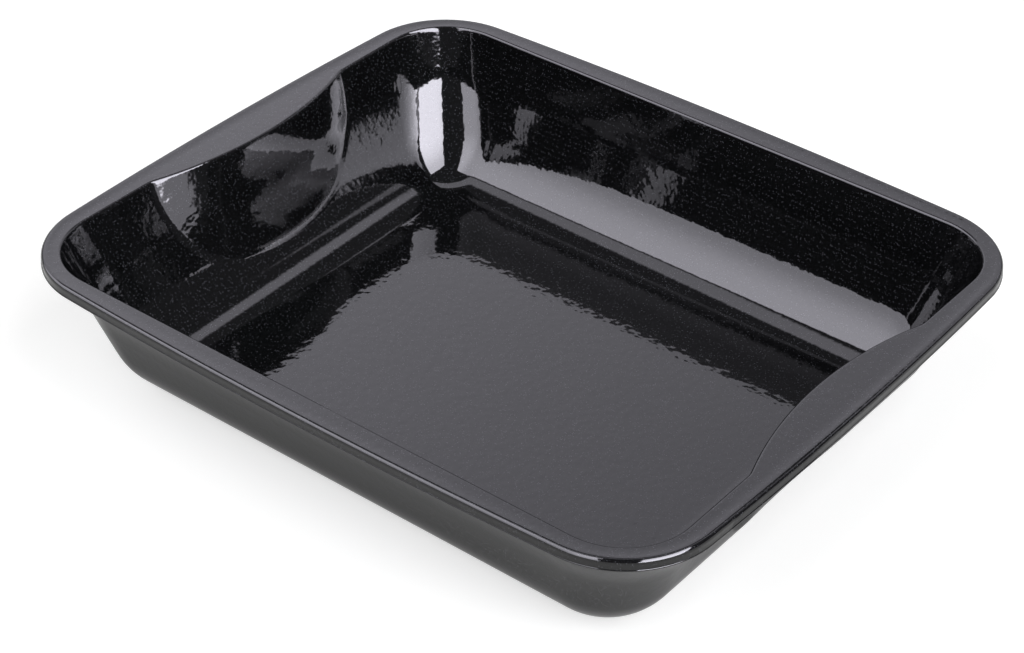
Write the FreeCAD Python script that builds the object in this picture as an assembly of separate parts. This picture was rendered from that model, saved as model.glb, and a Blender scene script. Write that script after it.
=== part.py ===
# Enamelled roasting pan, pressed from one steel sheet.
#
# Own frame: +X along the length, +Y along the width, +Z up, in millimetres.
# The origin is the middle of the underside, where the pan stands on a shelf.
#
# The pan is a single piece. A press draws the trough out of the sheet, pushes a shallow
# ball-shaped recess into each end wall from outside, and turns the rim's edge down.
# The trough's form is worked out twice, once for its inside and once a sheet's thickness
# larger for its outside, so the wall is as thick in the bends as on the flat.
import FreeCAD
import Part
import math
import os

# The sheet, with its enamel
sheet = 1.2

# The trough, measured on its inside. One bend radius runs along the floor and up the corners.
mouth_length = 390.0
mouth_width = 330.4
inner_depth = 82.3
end_wall_draft = 17.6
side_wall_draft = 15.9
trough_bend = 40.0
mouth_bend = 1.6

# The rim: a flange with slightly bowed sides, its outer part a little raised, and its skirt
rim_length = 420.0
rim_width = 361.0
rim_corner = 53.0
end_bow_radius = 2900.0
side_bow_radius = 3300.0
rise = 1.0
rise_width = 8.5
skirt_bend = 1.9
skirt_height = 6.8
skirt_bevel = 0.35

# The grips: a ball pushed into each end wall leaves a wide ledge with room for fingers below
grip_inset = 13.3
grip_ball_radius = 241.3
grip_ball_drop = 69.7
grip_crease_bend = 14.0

# How far one form runs into or past another, so that no two faces only just meet
overrun = 0.6

mouth_height = sheet + inner_depth


def point(x, y, z=0.0):
    """A point or direction in the pan's own frame."""
    return FreeCAD.Vector(x, y, z)


def lies_at(thing, height):
    """Whether an edge or a face lies level at a height."""
    box = thing.BoundBox
    nearly = overrun / 1000.0
    return abs(box.ZMin - height) < nearly and abs(box.ZMax - height) < nearly


def wall_corners(height, grow):
    """Where the trough's four walls would meet at a height, were its corners not rounded."""
    below = mouth_height - height
    end_draft = math.radians(end_wall_draft)
    side_draft = math.radians(side_wall_draft)
    x = mouth_length / 2.0 - below * math.tan(end_draft) + grow / math.cos(end_draft)
    y = mouth_width / 2.0 - below * math.tan(side_draft) + grow / math.cos(side_draft)
    return [point(x, y, height), point(-x, y, height), point(-x, -y, height), point(x, -y, height)]


def flat_face(corners):
    """A flat face on a ring of corners."""
    return Part.Face(Part.makePolygon(corners + corners[:1]))


def drawn_trough(grow, top):
    """The trough before the grips are pressed: four sloping walls and a floor, well rounded."""
    low = wall_corners(sheet - grow, grow)
    high = wall_corners(top, grow)
    faces = [flat_face(low[::-1]), flat_face(high)]
    for here in range(4):
        beside = (here + 1) % 4
        faces.append(flat_face([low[here], low[beside], high[beside], high[here]]))
    shell = Part.makeShell(faces)
    shell.sewShape()
    block = Part.makeSolid(shell)
    bends = [edge for edge in block.Edges if not lies_at(edge, top)]
    return block.makeFillet(trough_bend + grow, bends)


def grip_ball(end, radius):
    """The ball that presses the grip at one end, turned so that its seam faces outward."""
    rim_reach = math.sqrt(grip_ball_radius**2 - grip_ball_drop**2)
    centre_x = mouth_length / 2.0 - grip_inset + rim_reach
    ball = Part.makeSphere(radius)
    ball.rotate(point(0, 0), point(0, 0, 1), 0.0 if end > 0 else 180.0)
    ball.translate(point(end * centre_x, 0, mouth_height - grip_ball_drop))
    return ball


def trough_form(grow, top):
    """The space inside the finished trough up to a height, made larger all round by grow."""
    form = drawn_trough(grow, top)
    for end in (1, -1):
        form = form.cut(grip_ball(end, grip_ball_radius - grow))

    # The ball's faces are by far the roundest, and their edges below the top are the creases
    creases = []
    for face in form.Faces:
        pressed = isinstance(face.Surface, Part.Sphere) and face.Surface.Radius > 2 * trough_bend
        if pressed:
            creases += [edge for edge in face.Edges if not lies_at(edge, top)]
    return form.makeFillet(grip_crease_bend + grow, creases)


def rim_arcs():
    """The eight arcs of the rim's outline: centre, radius, start and turn in degrees.

    Four shallow bows, one on each side, run smoothly into four round corners.
    """
    end_centre = rim_length / 2.0 - end_bow_radius
    side_centre = rim_width / 2.0 - side_bow_radius

    # A corner's centre lies inside each bow by the bow's radius less the corner's
    to_end = end_bow_radius - rim_corner
    to_side = side_bow_radius - rim_corner
    apart = math.hypot(end_centre, side_centre)
    along = (to_end**2 - to_side**2 + apart**2) / (2.0 * apart)
    across = math.sqrt(to_end**2 - along**2)
    corner_x = end_centre - (along * end_centre + across * side_centre) / apart
    corner_y = (along * side_centre - across * end_centre) / apart

    end_turn = math.degrees(math.atan2(corner_y, corner_x - end_centre))
    side_turn = math.degrees(math.atan2(corner_y - side_centre, corner_x))
    corner_turn = side_turn - end_turn
    return [
        (point(end_centre, 0), end_bow_radius, -end_turn, 2 * end_turn),
        (point(corner_x, corner_y), rim_corner, end_turn, corner_turn),
        (point(0, side_centre), side_bow_radius, side_turn, 180 - 2 * side_turn),
        (point(-corner_x, corner_y), rim_corner, 180 - side_turn, corner_turn),
        (point(-end_centre, 0), end_bow_radius, 180 - end_turn, 2 * end_turn),
        (point(-corner_x, -corner_y), rim_corner, 180 + end_turn, corner_turn),
        (point(0, -side_centre), side_bow_radius, 180 + side_turn, 180 - 2 * side_turn),
        (point(corner_x, -corner_y), rim_corner, -side_turn, corner_turn),
    ]


def straight_edges(corners):
    """The straight edges from each corner to the next."""
    return [Part.makeLine(here, beyond) for here, beyond in zip(corners, corners[1:])]


def rim_section(radius):
    """The rim's cross-section, standing outward from an upright axis at the given radius.

    The upper line runs level from the mouth, up the rise, round the bend and down the skirt.
    """
    inner_radius = radius - rise_width - overrun
    top = mouth_height + rise
    skirt_end = top - skirt_height
    slope = math.atan2(rise, rise_width)

    # Where the round bend touches the rise and the skirt, and its middle
    half_turn = (math.pi / 2.0 + slope) / 2.0
    reach = skirt_bend * math.tan(half_turn)
    on_rise = point(radius - reach * math.cos(slope), 0, top - reach * math.sin(slope))
    on_skirt = point(radius, 0, top - reach)
    bend_x = radius - skirt_bend + skirt_bend * math.cos(half_turn)
    bend_z = top - reach + skirt_bend * math.sin(half_turn)

    # The underside is the same line a sheet lower and inward, with plain corners
    lower_start = radius - rise_width + sheet * math.tan(slope / 2.0)
    lower_top = top - sheet * math.tan(slope) - sheet / math.cos(slope)
    level_line = [
        point(inner_radius, 0, mouth_height - sheet),
        point(inner_radius, 0, mouth_height),
        point(radius - rise_width, 0, mouth_height),
        on_rise,
    ]
    skirt_line = [
        on_skirt,
        point(radius, 0, skirt_end + skirt_bevel),
        point(radius - skirt_bevel, 0, skirt_end),
        point(radius - sheet + skirt_bevel, 0, skirt_end),
        point(radius - sheet, 0, skirt_end + skirt_bevel),
        point(radius - sheet, 0, lower_top),
        point(lower_start, 0, mouth_height - sheet),
        point(inner_radius, 0, mouth_height - sheet),
    ]
    bend = Part.Arc(on_rise, point(bend_x, 0, bend_z), on_skirt).toShape()
    return Part.Face(Part.Wire(straight_edges(level_line) + [bend] + straight_edges(skirt_line)))


def closed_rim():
    """The whole rim, closed over the mouth by a level sheet that the trough is cut through."""
    up = point(0, 0, 1)
    sectors = []
    level_edges = []
    for centre, radius, start, turn in rim_arcs():
        sector = rim_section(radius).revolve(point(0, 0), up, turn)
        sector.rotate(point(0, 0), up, start)
        sector.translate(centre)
        sectors.append(sector)
        base = centre + up * (mouth_height - sheet)
        inner_radius = radius - rise_width - overrun
        level_edges.append(Part.makeCircle(inner_radius, base, up, start, start + turn))
    level = Part.Face(Part.Wire(level_edges)).extrude(up * sheet)
    return level.fuse(sectors)


def mouth_edges(pan):
    """The edges round the mouth: the inner ring of the flange's level upper face."""
    level = [face for face in pan.Faces if lies_at(face, mouth_height)][0]
    rings = sorted(level.Wires, key=lambda ring: ring.BoundBox.DiagonalLength)
    return rings[0].Edges


def roasting_pan():
    """The finished pan as one solid."""
    outside = trough_form(sheet, mouth_height - sheet + overrun)
    inside = trough_form(0.0, mouth_height + overrun)
    pan = closed_rim().fuse(outside).cut(inside).removeSplitter()
    return pan.makeFillet(mouth_bend, mouth_edges(pan)).Solids[0]


os.makedirs("parts", exist_ok=True)
pan = roasting_pan()
pan.exportStep("parts/roasting_pan.step")
print("roasting_pan:", len(pan.Solids), "solid,", round(pan.Volume / 1000.0, 1), "cubic cm")
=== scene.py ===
# %% [markdown]
# A deep roasting pan, pressed from one steel sheet and coated all over with black enamel.
# The solid model is loaded first. It fixes where the pan stands and how large it is, and every
# piece made here keeps to it.

# %% Load the solid model
import bmesh
import bpy
import math
from mathutils import Matrix, Vector


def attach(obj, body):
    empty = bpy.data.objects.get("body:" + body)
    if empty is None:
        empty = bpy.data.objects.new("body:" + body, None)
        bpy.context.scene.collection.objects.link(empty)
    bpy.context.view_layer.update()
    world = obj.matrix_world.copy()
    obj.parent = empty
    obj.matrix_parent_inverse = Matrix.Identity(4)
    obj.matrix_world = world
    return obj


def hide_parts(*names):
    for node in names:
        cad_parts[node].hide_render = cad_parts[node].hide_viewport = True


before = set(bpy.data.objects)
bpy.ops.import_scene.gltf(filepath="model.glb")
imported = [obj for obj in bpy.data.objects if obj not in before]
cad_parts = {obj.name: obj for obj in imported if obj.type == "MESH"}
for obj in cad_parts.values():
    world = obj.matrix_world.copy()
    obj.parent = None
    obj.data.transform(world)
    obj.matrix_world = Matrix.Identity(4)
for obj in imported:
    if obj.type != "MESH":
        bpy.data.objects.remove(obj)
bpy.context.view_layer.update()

# %% [markdown]
# The camera comes early, because all that follows is judged through it. It looks down on the
# pan from the front right. It could be turned by hand until the rim fits the picture, but its
# lens, place and slight roll were worked out from the rim's edges instead, which is exact.
# A camera looks along its own -Z axis, so its matrix holds the directions right, up and back.

# %% The camera
camera_place = Vector((0.6713, -0.8784, 0.8337))
camera_target = Vector((0.0376, -0.05705, 0.0835))
camera_roll = math.radians(1.178)
lens_mm = 90.09
nearest_seen = 0.05
farthest_seen = 30.0

straight_up = Vector((0.0, 0.0, 1.0))
back = (camera_place - camera_target).normalized()
level_right = straight_up.cross(back).normalized()
right = Matrix.Rotation(camera_roll, 3, back) @ level_right
up = back.cross(right)
facing = Matrix((right, up, back)).transposed().to_4x4()

camera = bpy.data.objects.new("camera", bpy.data.cameras.new("camera"))
camera.matrix_world = Matrix.Translation(camera_place) @ facing
camera.data.lens = lens_mm
camera.data.clip_start = nearest_seen
camera.data.clip_end = farthest_seen
bpy.context.scene.collection.objects.link(camera)
bpy.context.scene.camera = camera
print("camera right", [round(v, 4) for v in right], "up", [round(v, 4) for v in up])

# %% [markdown]
# The pan is made again here as a finer mesh, because gloss shows each facet of a coarse one.
# Its sizes are those of the solid model, in metres.
#
# A press draws the trough with one bend radius everywhere. A box with bevelled edges comes
# near to this, but a bevel decides by itself where its facets run. Here each point of a wall or
# a bend is worked out: it lies exactly one bend radius from an inner block with sloping sides,
# which is the trough's form moved in by that radius.

# %% The sheet and the trough
MM = 0.001
sheet = 1.2 * MM
mouth_height = 83.5 * MM
end_draft = math.radians(17.6)
side_draft = math.radians(15.9)
trough_bend = 40.0 * MM
mouth_bend = 1.6 * MM
mouth_half_length = 195.0 * MM
mouth_half_width = 165.2 * MM
block_foot = sheet + trough_bend
end_out = Vector((math.cos(end_draft), 0.0, -math.sin(end_draft)))
side_out = Vector((0.0, math.cos(side_draft), -math.sin(side_draft)))
corner_span = end_out.angle(side_out)


def block_edge(height):
    """Half the inner block's length and width at a height."""
    below = mouth_height - height
    half_length = mouth_half_length - below * math.tan(end_draft)
    half_width = mouth_half_width - below * math.tan(side_draft)
    half_length -= trough_bend / math.cos(end_draft)
    half_width -= trough_bend / math.cos(side_draft)
    return half_length, half_width


foot_length, foot_width = block_edge(block_foot)
print("flat floor, half sizes in mm:", round(foot_length / MM, 1), round(foot_width / MM, 1))

# %% [markdown]
# The sheet is meshed like a spider's web: columns run from the floor up the wall and over the
# rim, and rows run round the pan. A square grid would cross the bends at a slant, and gloss
# would show that as a sawtooth. A quarter's columns go from the middle of an end wall round
# the corner to the middle of a side wall. They stand close together where the grip is pressed
# in, because its crease needs fine facets, and far apart along the plain side walls.

# %% The columns of one quarter
END, CORNER, SIDE = "end", "corner", "side"
grip_columns = 62
grip_share = 0.84
plain_end_columns = 4
plain_end_share = 1.0 - grip_share
corner_columns = 24
side_columns = 14

quarter = [(END, grip_share * i / grip_columns) for i in range(grip_columns)]
for i in range(plain_end_columns):
    quarter.append((END, grip_share + plain_end_share * i / plain_end_columns))
quarter += [(CORNER, i / corner_columns) for i in range(corner_columns)]
quarter += [(SIDE, 1.0 - i / side_columns) for i in range(side_columns + 1)]

# Once round the pan: the quarter as it is, then mirrored, and so on, each shared column once
columns = [(part, share, 1, 1) for part, share in quarter]
columns += [(part, share, -1, 1) for part, share in quarter[-2::-1]]
columns += [(part, share, -1, -1) for part, share in quarter[1:]]
columns += [(part, share, 1, -1) for part, share in quarter[-2:0:-1]]
print("columns round the pan:", len(columns))

# %% [markdown]
# In the walls a column's point lies one bend radius out from the block's side, or from its
# upright corner edge. In the floor's bend the rows turn from the wall's slope down to the flat
# floor. The rows' corners get rounder towards the floor. Were they as sharp as the block's
# corner, all of a corner's columns would meet in one point, and gloss shows such a point.

# %% Points of the plain trough
floor_corner = 16.0 * MM


def wall_point(part, share, height, grow=0.0):
    """A point of the plain wall at a height, moved outward by grow, and its outward direction."""
    if part == CORNER:
        first = math.sin(corner_span * (1.0 - share))
        second = math.sin(corner_span * share)
        out = (end_out * first + side_out * second) / math.sin(corner_span)
    else:
        out = end_out if part == END else side_out
    reach = trough_bend + grow
    half_length, half_width = block_edge(height - reach * out.z)
    along_x = share if part == SIDE else 1.0
    along_y = share if part == END else 1.0
    x = half_length * along_x + reach * out.x
    y = half_width * along_y + reach * out.y
    return Vector((x, y, height)), out


def floor_bend_point(part, share, turned):
    """A point of the bend along the floor, turned from 0 at the wall to 1 at the floor."""
    end_angle = end_draft + (math.pi / 2.0 - end_draft) * turned
    side_angle = side_draft + (math.pi / 2.0 - side_draft) * turned
    rounder = floor_corner * turned ** 2
    reach_x = trough_bend * math.cos(end_angle)
    reach_y = trough_bend * math.cos(side_angle)
    x = foot_length - rounder
    y = foot_width - rounder
    if part == END:
        x += reach_x + rounder
        y *= share
    elif part == SIDE:
        x *= share
        y += reach_y + rounder
    else:
        x += (reach_x + rounder) * math.sin(corner_span * (1.0 - share)) / math.sin(corner_span)
        y += (reach_y + rounder) * math.sin(corner_span * share) / math.sin(corner_span)
    past = math.hypot(max(x - foot_length, 0.0), max(y - foot_width, 0.0))
    drop = math.sqrt(max(trough_bend ** 2 - past ** 2, 0.0))
    return Vector((x, y, block_foot - drop))


print("wall's foot in mm:", [round(v / MM, 1) for v in floor_bend_point(END, 0.0, 0.0)])

# %% [markdown]
# Each grip is the mark of a very large ball, pushed into the end wall from outside. Where the
# ball's surface runs into the wall, the sheet bends softly instead of making a sharp line.
# Cutting the ball out of the wall and bevelling the edge would leave thin, crooked facets.
# The bend is found as before instead: the wall and the ball are both moved away from the sheet
# by the bend's radius, and the sheet lies exactly that radius from what is left.

# %% The pressed grips
grip_ball_radius = 241.3 * MM
grip_ball_drop = 69.7 * MM
grip_inset = 13.3 * MM
grip_crease = 14.0 * MM
grip_reach = math.sqrt(grip_ball_radius ** 2 - grip_ball_drop ** 2)
grip_ball_x = mouth_half_length - grip_inset + grip_reach
grip_ball = Vector((grip_ball_x, 0.0, mouth_height - grip_ball_drop))
wall_reach = trough_bend - grip_crease
straight_down = Vector((0.0, 0.0, -1.0))


def from_end_wall(place):
    """How far a place lies outside the end wall's inner limit, and the way out."""
    x = place.x - foot_length
    z = place.z - block_foot
    if x * math.sin(end_draft) + z * math.cos(end_draft) >= 0.0:
        return x * end_out.x + z * end_out.z - wall_reach, end_out
    if x <= 0.0:
        return -z - wall_reach, straight_down
    far = math.hypot(x, z)
    return far - wall_reach, Vector((x / far, 0.0, z / far))


def from_creased_wall(place):
    """How far a place lies outside the wall with its grip, and the way out."""
    wall_far, wall_out = from_end_wall(place)
    to_ball = grip_ball - place
    ball_far = grip_ball_radius + grip_crease - to_ball.length
    ball_out = to_ball.normalized()
    shared = wall_out.dot(ball_out)
    wall_part = (wall_far - shared * ball_far) / (1.0 - shared ** 2)
    ball_part = (ball_far - shared * wall_far) / (1.0 - shared ** 2)
    if ball_part <= 0.0:
        return wall_far - grip_crease, wall_out
    if wall_part <= 0.0:
        return ball_far - grip_crease, ball_out
    way = wall_out * wall_part + ball_out * ball_part
    return way.length - grip_crease, way.normalized()


print("a grip's ball in mm:", [round(v / MM, 1) for v in grip_ball])

# %% [markdown]
# A point of the plain wall is pressed in along X, a step at a time. Each step divides how far
# the point is outside by how fast that distance falls along X, so a few steps are enough.

# %% Press a point of the wall in
most_steps = 12
close_enough = 1e-9
least_fall = 0.3


def press_grip(place, out, grow=0.0):
    """The place moved in along X until it lies on the wall with its grip, and the way out."""
    place = place.copy()
    for step in range(most_steps):
        far, out_here = from_creased_wall(place)
        if far - grow <= close_enough:
            break
        out = out_here
        place.x -= (far - grow) / max(out.x, least_fall)
    return place, out


ledge = press_grip(*wall_point(END, 0.0, mouth_height))[0]
print("ledge's inner edge in mm:", [round(v / MM, 2) for v in ledge])

# %% [markdown]
# The rim's outline is eight arcs: a shallow bow on each side and a round corner between two
# bows. A column crosses the rim square to this outline. It runs level from the mouth, rises
# about half a millimetre towards the outer edge, turns over a small bend and goes down the
# skirt, which ends in a fine bead. A swept profile could make a rim too, but this one is the
# same sheet as the trough, so it is made in one with it.

# %% The rim's outline
rim_half_length = 209.94 * MM
rim_half_width = 180.45 * MM
rim_corner = 53.0 * MM
end_bow = 2900.0 * MM
side_bow = 3300.0 * MM
end_bow_middle = rim_half_length - end_bow
side_bow_middle = rim_half_width - side_bow

# A corner's middle lies inside each bow by the bow's radius less the corner's
to_end_bow = end_bow - rim_corner
to_side_bow = side_bow - rim_corner
apart = math.hypot(end_bow_middle, side_bow_middle)
nearer = (to_end_bow ** 2 - to_side_bow ** 2 + apart ** 2) / (2.0 * apart)
aside = math.sqrt(to_end_bow ** 2 - nearer ** 2)
corner_x = end_bow_middle - (nearer * end_bow_middle + aside * side_bow_middle) / apart
corner_y = (nearer * side_bow_middle - aside * end_bow_middle) / apart
end_turn = math.atan2(corner_y, corner_x - end_bow_middle)
side_turn = math.atan2(corner_y - side_bow_middle, corner_x)


def outline_point(part, share):
    """The column's point on the rim's outline, and the level direction out of it."""
    if part == END:
        angle = end_turn * share
        middle, radius = Vector((end_bow_middle, 0.0, 0.0)), end_bow
    elif part == CORNER:
        angle = end_turn + (side_turn - end_turn) * share
        middle, radius = Vector((corner_x, corner_y, 0.0)), rim_corner
    else:
        angle = math.pi / 2.0 - (math.pi / 2.0 - side_turn) * share
        middle, radius = Vector((0.0, side_bow_middle, 0.0)), side_bow
    out = Vector((math.cos(angle), math.sin(angle), 0.0))
    return middle + out * radius, out


print("rim corner's middle in mm:", round(corner_x / MM, 2), round(corner_y / MM, 2))

# %% [markdown]
# One function gives the part of a column that lies on the rim. The rise begins softly, because
# a sheet bends and doesn't fold. The skirt's rows are named by their height above its lower
# edge and by how much of the bead stands out there.

# %% The rim's part of a column
rise = 0.6 * MM
rise_width = 9.2 * MM
rise_softness = 5.0 * MM
rise_angle = math.atan2(rise, rise_width - rise_softness / 2.0)
skirt_bend = 2.2 * MM
skirt_height = 6.4 * MM
bead = 0.3 * MM
skirt_rows = (
    (3.4 * MM, 0.0), (1.25 * MM, 0.0), (1.08 * MM, 0.13), (0.92 * MM, 0.5),
    (0.76 * MM, 0.87), (0.6 * MM, 1.0), (0.0, 1.0),
)
level_shares = (0.06, 0.35, 0.65, 0.94)
soft_rows = 6
bend_rows = 7


def rim_line(part, share, mouth):
    """The column from the mouth's edge over the flange, the rise and the bend, down the skirt."""
    edge, out = outline_point(part, share)
    top = mouth_height + rise
    start = edge - out * rise_width
    start.z = mouth_height
    line = [mouth.lerp(start, s) for s in level_shares] + [start]
    for i in range(1, soft_rows + 1):
        past = rise_softness * i / soft_rows
        here = start + out * past
        here.z += math.tan(rise_angle) * past ** 2 / (2.0 * rise_softness)
        line.append(here)
    turn = math.pi / 2.0 + rise_angle
    bend_middle = edge - out * (skirt_bend + bead)
    bend_middle.z = top - skirt_bend * math.tan(turn / 2.0)
    for i in range(bend_rows + 1):
        angle = turn - turn * i / bend_rows
        here = bend_middle + out * (skirt_bend * math.cos(angle))
        here.z += skirt_bend * math.sin(angle)
        line.append(here)
    for above_end, share_out in skirt_rows:
        here = edge - out * (bead * (1.0 - share_out))
        here.z = top - skirt_height + above_end
        line.append(here)
    return line


print("rise in degrees:", round(math.degrees(rise_angle), 2))

# %% [markdown]
# The other part of a column runs up the trough. The two together are the sheet's upper face
# from the floor to the skirt's lower edge. Rows stand close together in each bend, and one row
# lies on the flat beside each bend, so that the flats stay flat when the facets are shaded
# smooth.

# %% One whole column of the sheet
floor_rows = 20
wall_rows = 36
mouth_rows = 6
flat_margin = 5.0 * MM


def wall_line(part, share):
    """The column from the floor up to the mouth's bend, and that bend's middle and way out."""
    turns = [1.0 - i / floor_rows for i in range(floor_rows + 1)]
    floor_line = [floor_bend_point(part, share, turned) for turned in turns]
    towards = Vector((floor_line[0].x, floor_line[0].y, 0.0)).normalized()
    line = [floor_line[0] - towards * flat_margin] + floor_line
    place, out = wall_point(part, share, mouth_height - mouth_bend, mouth_bend)
    if part == END:
        place, out = press_grip(place, out, mouth_bend)
        line = [press_grip(here, end_out)[0] for here in line]
    foot = floor_line[-1].z
    head = place - out * mouth_bend
    for i in range(1, wall_rows):
        height = foot + (head.z - foot) * i / wall_rows
        here, out_here = wall_point(part, share, height)
        if part == END:
            here = press_grip(here, out_here)[0]
        line.append(here)
    return line + [head], place, out


def sheet_line(part, share, side_x, side_y):
    """The whole column, in its own quarter of the pan."""
    line, middle, out = wall_line(part, share)
    inward = -out
    for i in range(1, mouth_rows + 1):
        line.append(middle + inward.slerp(straight_up, i / mouth_rows) * mouth_bend)
    line += rim_line(part, share, line[-1])
    return [Vector((side_x * p.x, side_y * p.y, p.z)) for p in line]


web = [sheet_line(*column) for column in columns]
row_count = len(web[0])
print("rows:", row_count, "facets on one face of the sheet:", row_count * len(columns))

# %% [markdown]
# The mesh starts as a flat disc with as many corners as there are columns. Its edge is extruded
# once for each row and moved to its place, as if the press drew it down step by step. The faces
# could be listed by hand as well, but extruding joins them by itself. Each corner carries its
# column's number, which every extrusion copies to the new corner.

# %% Press the sheet
disc_radius = 0.1
pan_mesh = bmesh.new()
column_of = pan_mesh.verts.layers.int.new("column")
disc = bmesh.ops.create_circle(
    pan_mesh, cap_ends=True, radius=disc_radius, segments=len(columns),
)["verts"]

# The disc's corners take the columns in their order, from +X round by way of +Y
disc.sort(key=lambda v: math.atan2(v.co.y, v.co.x) % math.tau)
for number, vert in enumerate(disc):
    vert[column_of] = number
    vert.co = web[number][0]

edge_ring = list(pan_mesh.edges)
for row in range(1, row_count):
    extruded = bmesh.ops.extrude_edge_only(pan_mesh, edges=edge_ring)["geom"]
    edge_ring = [item for item in extruded if isinstance(item, bmesh.types.BMEdge)]
    for item in extruded:
        if isinstance(item, bmesh.types.BMVert):
            item.co = web[item[column_of]][row]

# The floor has the most corners of all faces, and has to face up
bmesh.ops.recalc_face_normals(pan_mesh, faces=pan_mesh.faces)
floor_face = max(pan_mesh.faces, key=lambda face: len(face.verts))
if floor_face.normal.z < 0.0:
    bmesh.ops.reverse_faces(pan_mesh, faces=pan_mesh.faces)
print("pressed sheet:", len(pan_mesh.verts), "corners,", len(pan_mesh.faces), "faces")

# %% [markdown]
# Solidify gives the sheet its thickness, away from its upper face. It leaves a square cut edge
# all along the skirt. Enamel never ends in a sharp edge, so a bevel rounds both sides of the
# cut. They are found by their height and by how sharply their two faces meet.

# %% Give it its thickness and round its cut edge
level_margin = 0.01 * MM
sharp_angle = math.radians(60.0)
cut_rounding = 0.45 * MM
cut_segments = 3
skirt_end = mouth_height + rise - skirt_height

bmesh.ops.solidify(pan_mesh, geom=list(pan_mesh.faces), thickness=sheet)
cut_edges = []
for edge in pan_mesh.edges:
    low = all(abs(v.co.z - skirt_end) < level_margin for v in edge.verts)
    if low and edge.calc_face_angle(0.0) > sharp_angle:
        cut_edges.append(edge)
bmesh.ops.bevel(
    pan_mesh, geom=cut_edges, offset=cut_rounding, offset_type="OFFSET",
    segments=cut_segments, profile=0.5, affect="EDGES", clamp_overlap=True, material=-1,
)
lowest = min(v.co.z for v in pan_mesh.verts)
print("with thickness:", len(pan_mesh.verts), "corners,", len(pan_mesh.faces), "faces,",
      len(cut_edges), "cut edges, lowest at", round(lowest / MM, 3), "mm")

# %% [markdown]
# The finished mesh becomes an object that stands for the solid. Its place is in the mesh, so
# the object itself stays at the origin. All its faces are shaded smooth, because the rows
# beside the bends already keep the flats flat.

# %% Make it an object
for face in pan_mesh.faces:
    face.smooth = True
pan_data = bpy.data.meshes.new("pan_body")
pan_mesh.to_mesh(pan_data)
pan_mesh.free()
pan = bpy.data.objects.new("pan_body", pan_data)
bpy.context.scene.collection.objects.link(pan)
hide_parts("roasting_pan")
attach(pan, "root")
print("faces on the finished pan:", len(pan_data.polygons))

# %% [markdown]
# A material is a graph of nodes, and its sums could be joined up node by node. They are easier
# to read as plain Python, so a small class wraps a socket: 1.0 - mask or height * 0.5 then adds
# the Math node it needs. Each operator has its reflected form, for a plain number on the left.

# %% Sums on sockets
class Signal:
    """A socket's value that varies over the surface, for use in plain sums."""

    def __init__(self, graph, socket):
        self.graph = graph
        self.socket = socket

    def math(self, operation, *values):
        return self.graph.node("ShaderNodeMath", {"operation": operation}, dict(enumerate(values)))

    def __add__(self, other):
        return self.math("ADD", self, other)

    def __radd__(self, other):
        return self.math("ADD", other, self)

    def __sub__(self, other):
        return self.math("SUBTRACT", self, other)

    def __rsub__(self, other):
        return self.math("SUBTRACT", other, self)

    def __mul__(self, other):
        return self.math("MULTIPLY", self, other)

    def __rmul__(self, other):
        return self.math("MULTIPLY", other, self)


print("sums on sockets: add, subtract, multiply")

# %% [markdown]
# Every node comes from one method, which sets the node's own settings first, because some of
# them change its sockets, and then its sockets' values or links. The few kinds that are used
# again and again get a method of their own on top of it. Colours and vectors have their own
# nodes, because a Math node would turn a colour grey.

# %% Nodes of every kind
class Graph:
    """The nodes of a material or of the world."""

    def __init__(self, tree):
        self.tree = tree
        tree.nodes.clear()

    def node(self, kind, settings=None, inputs=None, output=0):
        """Adds a node with its settings and then its sockets' values or links."""
        node = self.tree.nodes.new(kind)
        for name, value in (settings or {}).items():
            setattr(node, name, value)
        for name, value in (inputs or {}).items():
            if isinstance(value, Signal):
                self.tree.links.new(value.socket, node.inputs[name])
            else:
                node.inputs[name].default_value = value
        return Signal(self, node.outputs[output]) if node.outputs else node

    def ramp(self, value, low, high, start=0.0, end=1.0):
        """A soft step of the value, from start below low to end above high."""
        settings = {"interpolation_type": "SMOOTHSTEP", "clamp": True}
        inputs = {0: value, 1: low, 2: high, 3: start, 4: end}
        return self.node("ShaderNodeMapRange", settings, inputs)

    def noise(self, place, scale, detail):
        """Soft noise through space; scale is its cells to the metre."""
        inputs = {"Vector": place, "Scale": scale, "Detail": detail}
        return self.node("ShaderNodeTexNoise", inputs=inputs)

    def vector_math(self, operation, *vectors, output="Vector"):
        """Sums on vectors; the output is "Value" where the result is one number."""
        settings = {"operation": operation}
        return self.node("ShaderNodeVectorMath", settings, dict(enumerate(vectors)), output)

    def mix_colour(self, share, first, second):
        """One colour turned into another by share."""
        settings = {"data_type": "RGBA", "clamp_factor": True}
        return self.node("ShaderNodeMix", settings, {0: share, 6: first, 7: second}, 2)

    def ray_kinds(self):
        """Whether a ray comes from the camera, from a mirroring or from a clear surface."""
        names = ("Is Camera Ray", "Is Glossy Ray", "Is Transmission Ray")
        return [self.node("ShaderNodeLightPath", output=name) for name in names]


def new_material(name):
    """An empty material and its graph."""
    material = bpy.data.materials.new(name)
    material.use_nodes = True
    return material, Graph(material.node_tree)


print("kinds of node with a method of their own: ramp, noise, vector maths, mix, light path")

# %% [markdown]
# Enamel is glass, fused to the steel in an oven. This one is nearly black, with pale flecks
# well under a millimetre across and a faint sandy grain between them. A threshold on noise
# would give blots that all look alike. A Voronoi texture divides space into small cells and
# gives each cell a chance of its own, so the flecks differ in size, down to almost nothing.
# A texture's scale is its cells to the metre, and a fleck's size is in cells.

# %% The enamel's colour
enamel_black = (0.0024, 0.0024, 0.0027, 1.0)
fleck_colour = (0.045, 0.046, 0.054, 1.0)
fleck_scale = 1150.0
fleck_chances = (0.45, 0.9)
largest_fleck = 0.38
fleck_edge = 0.07
grain_scale = 1500.0
sand_limits = (0.5, 0.7)
sand_share = 0.2

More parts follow.
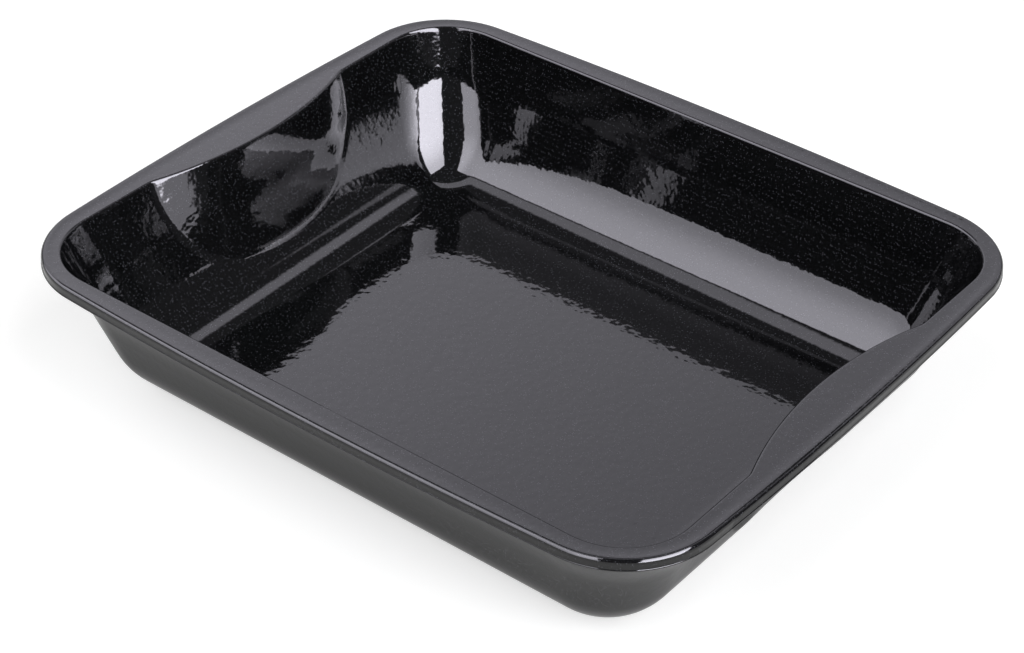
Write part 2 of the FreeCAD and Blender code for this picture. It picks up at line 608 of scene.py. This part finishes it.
enamel, graph = new_material("black_enamel")
place = graph.node("ShaderNodeTexCoord", output="Object")
fleck_cells = {"Vector": place, "Scale": fleck_scale, "Randomness": 1.0}
from_middle = graph.node("ShaderNodeTexVoronoi", inputs=fleck_cells, output="Distance")
chance = graph.node("ShaderNodeTexVoronoi", inputs=fleck_cells, output="Color")
fleck_size = graph.ramp(chance, *fleck_chances, 0.0, largest_fleck)
fleck_mask = graph.ramp(from_middle - fleck_size, -fleck_edge, fleck_edge, 1.0, 0.0)
grain = graph.noise(place, grain_scale, detail=2.0)
sand = sand_share * graph.ramp(grain, *sand_limits)
colour = graph.mix_colour(fleck_mask + sand, enamel_black, fleck_colour)
print("enamel nodes so far:", len(enamel.node_tree.nodes))

# %% [markdown]
# Fused glass isn't quite flat. It has the slight waviness of orange peel, which frays the edges
# of reflections and is calmer in the floor's bend. The flange has more of a fine grain. Waves
# this small would need millions of facets, so they are relief in the material.

# %% The enamel's peel
flange_limits = (83.2 * MM, 83.45 * MM)
height = graph.node("ShaderNodeSeparateXYZ", inputs={0: place}, output="Z")
on_flange = graph.ramp(height, *flange_limits)

peel_depth = 0.08 * MM
wave_scale = 230.0
bend_start = (1.22 * MM, 1.5 * MM)
bend_end = (10.0 * MM, 20.0 * MM)
calm_in_bend = 0.7
grain_in_trough = 0.01
more_on_flange = 0.04
waves = graph.noise(place, wave_scale, detail=1.0)
in_bend = graph.ramp(height, *bend_start) * graph.ramp(height, *bend_end, 1.0, 0.0)
fine_grain = grain * (grain_in_trough + more_on_flange * on_flange)
peel = peel_depth * (waves * (1.0 - calm_in_bend * in_bend) + fine_grain)
print("enamel nodes so far:", len(enamel.node_tree.nodes))

# %% [markdown]
# Two slight forms of the pressed sheet are relief as well, because only reflections show them:
# the walls are a little hollow, less steep low down and steeper near the mouth, and the part of
# each grip towards -Y is flatter from top to bottom than the ball. The mesh could have them too,
# but it would then leave the solid's form for what no outline shows. All heights are in metres,
# so the slopes are true ones.

# %% The slight curves of the walls and grips
belly = 1.9 * MM
belly_limits = (12.0 * MM, 48.0 * MM)
lip_foot = 44.0 * MM
lip_top = 62.0 * MM
lip_middle = (lip_foot + lip_top) / 2.0
lip_slope = math.tan(math.radians(6.0))
lip = graph.ramp(height, lip_foot, lip_top) * (height - lip_middle) * lip_slope
wall_curve = lip - belly * graph.ramp(height, *belly_limits)

slope_at_mouth = 0.07
slope_growth = 2.25
below_mouth = mouth_height - height
grip_curve = below_mouth * (slope_at_mouth + slope_growth * below_mouth)
print("enamel nodes so far:", len(enamel.node_tree.nodes))

# %% [markdown]
# Three Bump nodes are chained, each on top of the one before: the wall's curve, the grip's and
# the peel. Where the grip's curve holds the wall's doesn't, so their strengths add up to one.
# A point is on a grip where it lies no farther from the ball's middle than the ball's radius.
# Its place is taken without signs, so that one ball serves both ends.

# %% Where each relief holds
ball_limits = (0.2 * MM, 1.2 * MM)
flatter_half = (-50.0 * MM, -30.0 * MM)
either_end = graph.vector_math("ABSOLUTE", place)
from_ball = graph.vector_math("DISTANCE", either_end, grip_ball, output="Value")
on_ball = graph.ramp(from_ball - grip_ball_radius, *ball_limits, 1.0, 0.0)
across = graph.node("ShaderNodeSeparateXYZ", inputs={0: place}, output="Y")
on_grip = on_ball * graph.ramp(across, *flatter_half, 1.0, 0.0)


def relief(strength, raised, under=None):
    """A Bump node for what is raised, in metres, on top of the relief under it."""
    inputs = {"Strength": strength, "Distance": 1.0, "Height": raised}
    if under is not None:
        inputs["Normal"] = under
    return graph.node("ShaderNodeBump", inputs=inputs)


wall_relief = relief(1.0 - on_grip, wall_curve)
grip_relief = relief(on_grip, grip_curve, under=wall_relief)
whole_relief = relief(1.0, peel, under=grip_relief)
print("enamel nodes so far:", len(enamel.node_tree.nodes))

# %% [markdown]
# The glass is very smooth, with faint clouds, and a little duller on the flange than in the
# trough. A clear coat over a matt base could stand for it, but black glass hides what is under
# it, so one glossy layer with the refraction of glass looks the same and is simpler.

# %% The enamel's gloss
trough_roughness = 0.03
flange_roughness = 0.025
cloud_roughness = 0.03
cloud_scale = 500.0
enamel_refraction = 1.55

cloudy = graph.noise(place, cloud_scale, detail=3.0)
roughness = trough_roughness + flange_roughness * on_flange + cloud_roughness * cloudy
shader = graph.node("ShaderNodeBsdfPrincipled", inputs={
    "Base Color": colour, "Roughness": roughness, "Normal": whole_relief,
    "IOR": enamel_refraction,
})
graph.node("ShaderNodeOutputMaterial", inputs={"Surface": shader})
pan_data.materials.append(enamel)
print("enamel nodes:", len(enamel.node_tree.nodes))

# %% [markdown]
# The pan stands on a plain white ground. The camera sees the ground and all behind it as white,
# and the ground keeps the pan's soft shadow. More light would whiten it too, but would also
# light the pan. So it glows a little, for the camera and in reflections only.

# %% The ground
ground_half_size = 6.0
ground_colour = (0.6, 0.6, 0.6, 1.0)
glow_seen = 0.55
glow_mirrored = 0.1

ground_mesh = bmesh.new()
bmesh.ops.create_grid(ground_mesh, x_segments=2, y_segments=2, size=ground_half_size)
ground_data = bpy.data.meshes.new("ground")
ground_mesh.to_mesh(ground_data)
ground_mesh.free()
ground = bpy.data.objects.new("ground", ground_data)
bpy.context.scene.collection.objects.link(ground)

ground_paint, graph = new_material("ground_paint")
seen, mirrored, passed = graph.ray_kinds()
matt = graph.node("ShaderNodeBsdfDiffuse", inputs={"Color": ground_colour})
glow_level = glow_seen * seen + glow_mirrored * (mirrored + passed)
glow = graph.node("ShaderNodeEmission", inputs={"Strength": glow_level})
both = graph.node("ShaderNodeAddShader", inputs={0: matt, 1: glow})
graph.node("ShaderNodeOutputMaterial", inputs={"Surface": both})
ground_data.materials.append(ground_paint)
print("ground nodes:", len(ground_paint.node_tree.nodes))

# %% [markdown]
# A glossy black surface has hardly any look of its own: it shows what stands round it. Here
# that is a dark studio with five soft lights: a strip overhead, a pale backdrop behind the pan,
# a tall cloth panel at the front left, a brighter box at the right, and a dim narrow panel low
# at the right.
#
# Glowing sheets could stand there, but they would be in the way of other views. So the room is
# painted on the world, whose Generated coordinate is the direction in which a ray leaves. Each
# straight edge of a panel is a plane through the pan: a direction lies inside where its dot
# product with that plane's normal is positive.

# %% A room painted by direction
world = bpy.data.worlds.new("room")
bpy.context.scene.world = world
world.use_nodes = True
graph = Graph(world.node_tree)
direction = graph.node("ShaderNodeTexCoord", output="Generated")
sideways = graph.node("ShaderNodeSeparateXYZ", inputs={0: direction}, output="X")
upward = graph.node("ShaderNodeSeparateXYZ", inputs={0: direction}, output="Z")


def soft_panel(edges, softness):
    """Where a direction lies inside every edge, each given by its plane's normal."""
    inside = 1.0
    for edge in edges:
        normal = Vector(edge).normalized()
        side = graph.vector_math("DOT_PRODUCT", direction, normal, output="Value")
        inside = graph.ramp(side, -softness, softness) * inside
    return inside


def light(room, panel, level):
    """The room's level with a panel of another level in front."""
    return room + panel * (level - room)


print("room nodes so far:", len(world.node_tree.nodes))

# %% [markdown]
# The strip overhead makes the line of light along the floor's bend. The backdrop makes the
# flange and most of the floor grey. It could be one even sheet, but the flange shows that it
# is dimmer near its foot and brighter towards the left.

# %% The strip overhead and the backdrop
room_level = 0.11
strip_level = 1.8
strip_softness = 0.02
strip_edges = (
    (-0.789, 0.614, -0.285), (0.751, -0.66, 0.5166), (1.0, 0.0, 1.15),
    (0.0, -1.0, 0.87), (0.0, 1.0, 0.16),
)
overhead = soft_panel(strip_edges, strip_softness)
room = light(room_level, overhead, strip_level)

backdrop_level = 1.15
backdrop_edges = ((-0.809, 0.588, 0.0),)
backdrop_softness = 0.02
backdrop_foot = (0.16, 0.26)
backdrop_top = (0.67, 0.695)
left_limits = (-0.36, -0.66)
more_at_left = 0.52
dim_limits = (0.3, 0.5)
dim_share = 0.6
behind = soft_panel(backdrop_edges, backdrop_softness)
behind = behind * graph.ramp(upward, *backdrop_top, 1.0, 0.0) * graph.ramp(upward, *backdrop_foot)
backdrop = backdrop_level + more_at_left * graph.ramp(sideways, *left_limits)
backdrop = backdrop * graph.ramp(upward, *dim_limits, dim_share, 1.0)
room = light(room, behind, backdrop)
print("room nodes so far:", len(world.node_tree.nodes))

# %% [markdown]
# The cloth panel is a sheet with a lamp behind it, so it fades from side to side and from top
# to bottom. It makes the wide pale band low on the back wall. The box at the right is far
# brighter, and makes the white streak in the back corner and the patches on the left wall. Both
# begin a little above the ground. The low panel makes the patch on the left grip.

# %% The cloth, the box and the low panel
foot_limits = (0.09, 0.12)
above_ground = graph.ramp(upward, *foot_limits)

cloth_edges = ((0.0, -1.0, -0.2), (-1.0, -0.36, -0.1))
cloth_softness = 0.012
cloth_level = 2.9
higher_limits = (0.2, 0.8)
more_when_higher = 2.4
nearer_limits = (-0.3, 0.0)
more_when_nearer = 2.2
front_left = soft_panel(cloth_edges, cloth_softness)
cloth = cloth_level + more_when_higher * graph.ramp(upward, *higher_limits)
cloth = cloth + more_when_nearer * graph.ramp(sideways, *nearer_limits)
room = light(room, front_left * above_ground, cloth)

low_edges = ((0.2, -1.0, 0.0), (0.0, 1.0, 0.0), (1.0, 0.0, 0.0))
low_softness = 0.015
low_foot = (0.02, 0.04)
low_top = (0.25, 0.27)
low_level = 2.4
low_band = graph.ramp(upward, *low_foot) * graph.ramp(upward, *low_top, 1.0, 0.0)
room = light(room, soft_panel(low_edges, low_softness) * low_band, low_level)

box_edges = ((1.0, 0.0, -0.37), (0.0, -1.0, 0.48), (0.8, 1.0, -0.2))
box_softness = 0.015
box_level = 10.0
box_limits = (0.4, 0.9)
more_at_right = 6.0
in_box = soft_panel(box_edges, box_softness) * above_ground
box = box_level + more_at_right * graph.ramp(sideways, *box_limits)
print("room nodes so far:", len(world.node_tree.nodes))

# %% [markdown]
# Each kind of ray sees the room in its own way. The camera sees plain white. Gloss sees the
# room as painted, a little bluish. Matt surfaces get a share of it, which makes the ground's
# white render as white.
#
# A ray that is mirrored twice in the pan is a case of its own. The first mirroring polarises
# the light, so the second mirrors less of it at one angle and more at another, and a renderer
# leaves that out. So on the second bounce the room is dimmer and the box brighter.

# %% What each kind of ray sees
second_bounce = (1.4, 1.6)
less_of_room = 0.7
more_of_box = 0.5
matt_share = 0.34
plain_white = (1.0, 1.0, 1.0, 1.0)
bluish_white = (1.0, 0.98, 1.09, 1.0)

seen, mirrored, passed = graph.ray_kinds()
bounces = graph.node("ShaderNodeLightPath", output="Glossy Depth")
again = graph.ramp(bounces, *second_bounce)
room_again = room * (1.0 - less_of_room * again)
mirrored_room = light(room_again, in_box, box * (1.0 + more_of_box * again))
room = light(room, in_box, box)
elsewhere = 1.0 - seen - mirrored - passed
strength = seen + mirrored * mirrored_room + room * (passed + matt_share * elsewhere)
tint = graph.mix_colour(mirrored, plain_white, bluish_white)
studio = graph.node("ShaderNodeBackground", inputs={"Color": tint, "Strength": strength})
graph.node("ShaderNodeOutputWorld", inputs={"Surface": studio})
print("room nodes:", len(world.node_tree.nodes))

# %% [markdown]
# The Standard view shows each colour as it is written. The solid model's pan is hidden but kept.

# %% View settings and the end
bpy.context.scene.view_settings.view_transform = "Standard"
